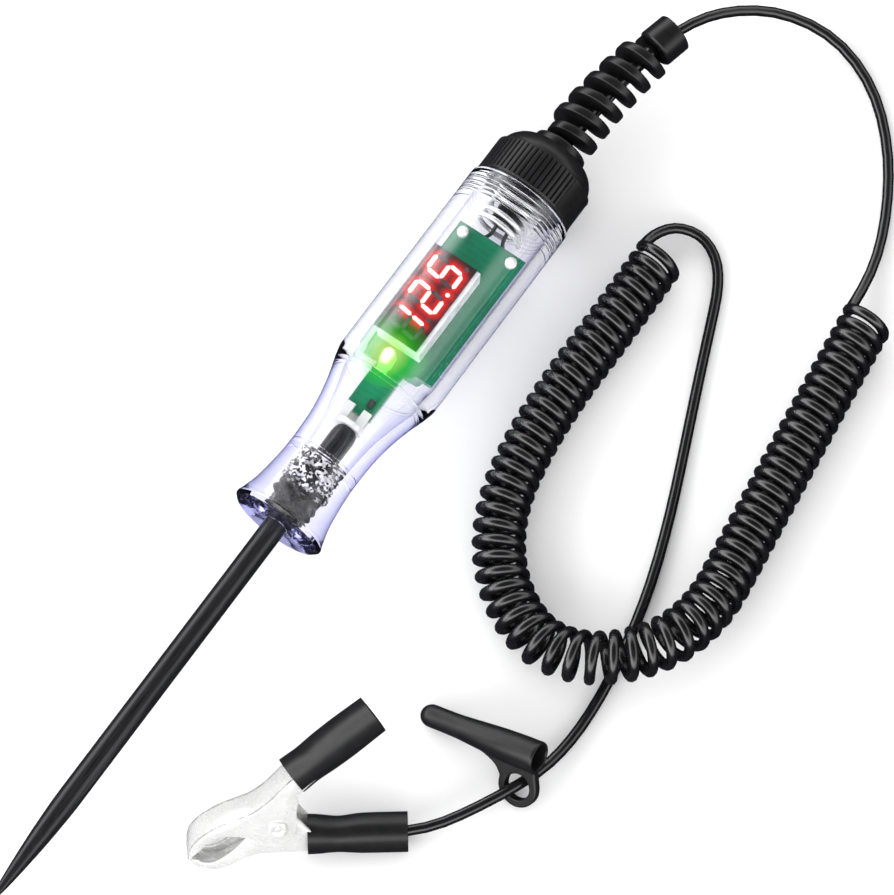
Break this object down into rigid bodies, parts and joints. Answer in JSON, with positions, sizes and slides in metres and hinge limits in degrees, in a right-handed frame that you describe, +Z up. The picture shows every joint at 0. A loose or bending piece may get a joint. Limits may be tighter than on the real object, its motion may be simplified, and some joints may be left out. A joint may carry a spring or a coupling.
{
  "type": "circuit test light",
  "caption": "Probe-type circuit tester: clear handle with a lit voltage display, long pointed probe, coiled lead and spring clip.",
  "frame": {"origin": "on the surface that the tool lies on, under the middle of the tool from probe tip to cap end", "axes": "+Y along the tool from the probe tip to the lead, +Z up, +X to the side that the lead lies on"},
  "size_m": [0.1048, 0.2733, 0.0365],
  "materials": {
    "black_steel": "black oxide, polished",
    "grip_sleeve": "crackled black and silver",
    "clear_plastic": "polished, faint violet tint",
    "board_green": "solder mask",
    "white_plastic": "satin",
    "display_black": "smooth",
    "lit_red": "glowing",
    "segment_grey": "unlit",
    "led_green": "glowing",
    "bright_steel": "bright",
    "chip_black": "satin",
    "black_plastic": "fine satin",
    "black_rubber": "satin",
    "cord_black": "glossy",
    "nickel_steel": "nickel plated",
    "soft_black": "soft satin"
  },
  "bodies": {
    "root": {"probe_shaft": "black_steel", "probe_bond": "grip_sleeve", "handle_shell": "clear_plastic", "circuit_board": "board_green", "display_housing": "white_plastic", "display_face": "display_black", "lit_segments": "lit_red", "dark_segments": "segment_grey", "status_led": "led_green", "led_legs": "bright_steel", "probe_terminal": "bright_steel", "board_posts": "bright_steel", "board_chips": "chip_black", "board_resistors": "chip_black", "contact_spring": "bright_steel", "spring_seat": "black_plastic", "inner_wires": "chip_black", "strain_relief": "black_rubber", "cord_lead": "cord_black", "cord_coil": "cord_black", "cord_tail": "cord_black", "clip_lower_jaw": "nickel_steel", "clip_rivet": "nickel_steel", "clip_spring": "bright_steel", "clip_lower_boot": "soft_black", "clip_crimp": "nickel_steel"},
    "seal": {"seal_ring": "black_rubber"},
    "cap": {"end_cap": "black_plastic"},
    "upper_jaw": {"clip_upper_jaw": "nickel_steel", "clip_upper_boot": "soft_black"},
    "sheath": {"probe_cap": "soft_black"}
  },
  "joints": [
    {"name": "end_cap_back", "type": "slide", "parent": "root", "child": "seal", "axis": [0, 1, 0], "range_m": [0, 0.008]},
    {"name": "end_cap_turn", "type": "hinge", "parent": "seal", "child": "cap", "pos_m": [0, 0.095, 0.0127], "axis": [0, 1, 0], "range_deg": [0, 1440]},
    {"name": "clip_jaw", "type": "hinge", "parent": "root", "child": "upper_jaw", "pos_m": [0.03805, -0.05352, 0.0107], "axis": [-0.5549, 0.6427, -0.5283], "range_deg": [0, 25], "stiffness_Nm_per_rad": 0.08, "springref_deg": -34.38},
    {"name": "probe_cap_slide", "type": "slide", "parent": "root", "child": "sheath", "axis": [-0.4119, -0.9099, 0.0492], "range_m": [0, 0.007]}
  ],
  "couplings": [
    {"joint": "end_cap_back", "follows": "end_cap_turn", "m_per_rad": 0.00031831}
  ]
}
